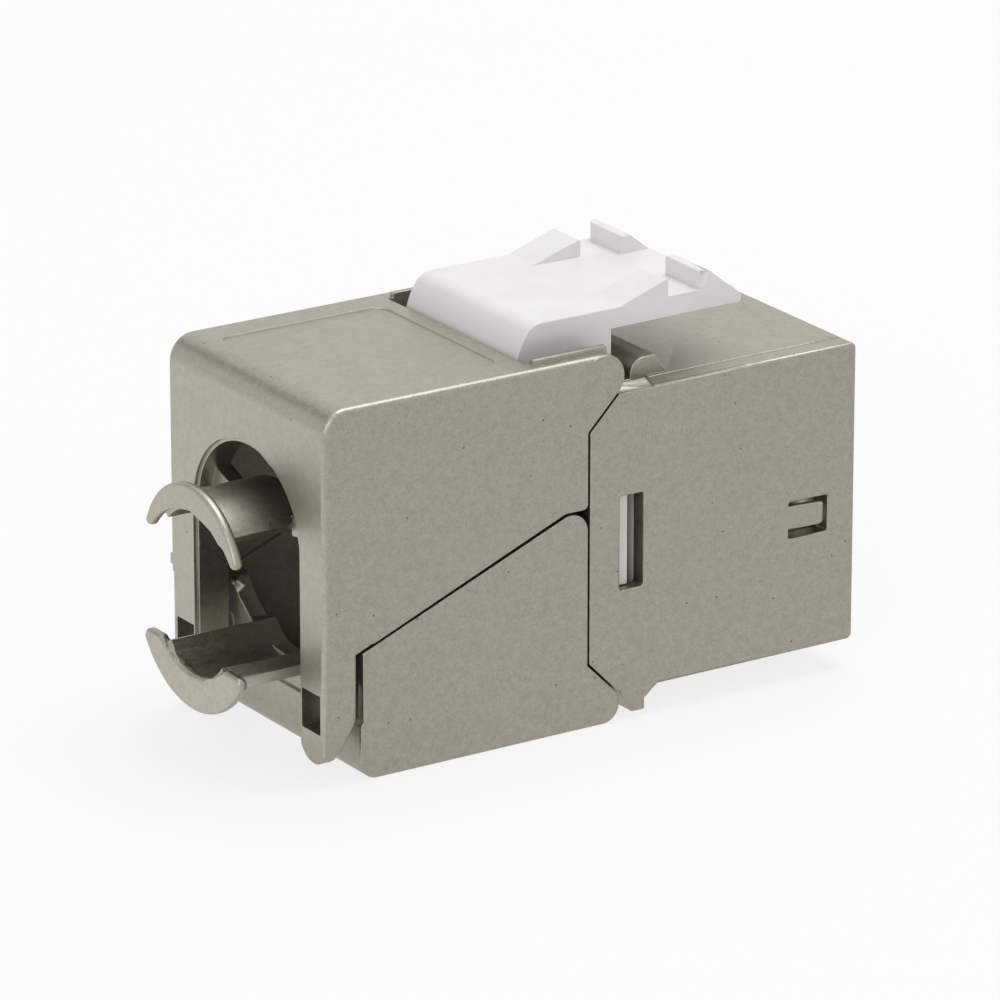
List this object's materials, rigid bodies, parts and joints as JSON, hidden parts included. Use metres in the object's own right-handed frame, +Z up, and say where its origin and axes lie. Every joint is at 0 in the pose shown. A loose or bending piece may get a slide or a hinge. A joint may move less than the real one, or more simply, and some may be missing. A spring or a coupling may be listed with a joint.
{
  "type": "keystone jack",
  "caption": "Shielded network jack of keystone size: cast housing with plug port, two hinged clamshell hoods with a cable saddle each, and a white snap latch.",
  "frame": {"origin": "middle of the seam line between housing and hoods, on the flat underside of the lower hood", "axes": "+X towards the plug port, +Z up towards the latch clip, +Y across"},
  "size_m": [0.0349, 0.0154, 0.022],
  "materials": {
    "nickel_casting": "satin nickel plate on a zinc casting",
    "white_plastic": "satin",
    "spring_steel": "bright",
    "pin_steel": "ground",
    "board_laminate": "solder mask",
    "gold_plate": "gold plate"
  },
  "bodies": {
    "housing": {"front_housing": "nickel_casting", "port_insert": "white_plastic", "ground_spring_near": "spring_steel", "ground_spring_far": "spring_steel", "circuit_board": "board_laminate", "idc_block_upper": "white_plastic", "idc_block_lower": "white_plastic", "wire_manager_upper": "white_plastic", "wire_manager_lower": "white_plastic", "hinge_pin_upper": "pin_steel", "hinge_pin_lower": "pin_steel", "idc_terminal_1": "gold_plate", "idc_terminal_2": "gold_plate", "idc_terminal_3": "gold_plate", "idc_terminal_4": "gold_plate", "idc_terminal_5": "gold_plate", "idc_terminal_6": "gold_plate", "idc_terminal_7": "gold_plate", "idc_terminal_8": "gold_plate", "contact_spring_1": "gold_plate", "contact_spring_2": "gold_plate", "contact_spring_3": "gold_plate", "contact_spring_4": "gold_plate", "contact_spring_5": "gold_plate", "contact_spring_6": "gold_plate", "contact_spring_7": "gold_plate", "contact_spring_8": "gold_plate"},
    "upper_hood_body": {"upper_hood": "nickel_casting"},
    "lower_hood_body": {"lower_hood": "nickel_casting"},
    "latch": {"latch_clip": "white_plastic"}
  },
  "joints": [
    {"name": "upper_hood_hinge", "type": "hinge", "parent": "housing", "child": "upper_hood_body", "pos_m": [0.00087, 0, 0.01827], "axis": [0, 1, 0], "range_deg": [0, 85]},
    {"name": "lower_hood_hinge", "type": "hinge", "parent": "housing", "child": "lower_hood_body", "pos_m": [0.00085, 0, 0.00098], "axis": [0, -1, 0], "range_deg": [0, 85]},
    {"name": "latch_rock", "type": "hinge", "parent": "housing", "child": "latch", "pos_m": [0.00087, 0, 0.01827], "axis": [0, 1, 0], "range_deg": [0, 7.5], "stiffness_Nm_per_rad": 0.6}
  ],
  "couplings": [
    {"joint": "lower_hood_hinge", "follows": "upper_hood_hinge", "ratio": 1}
  ]
}
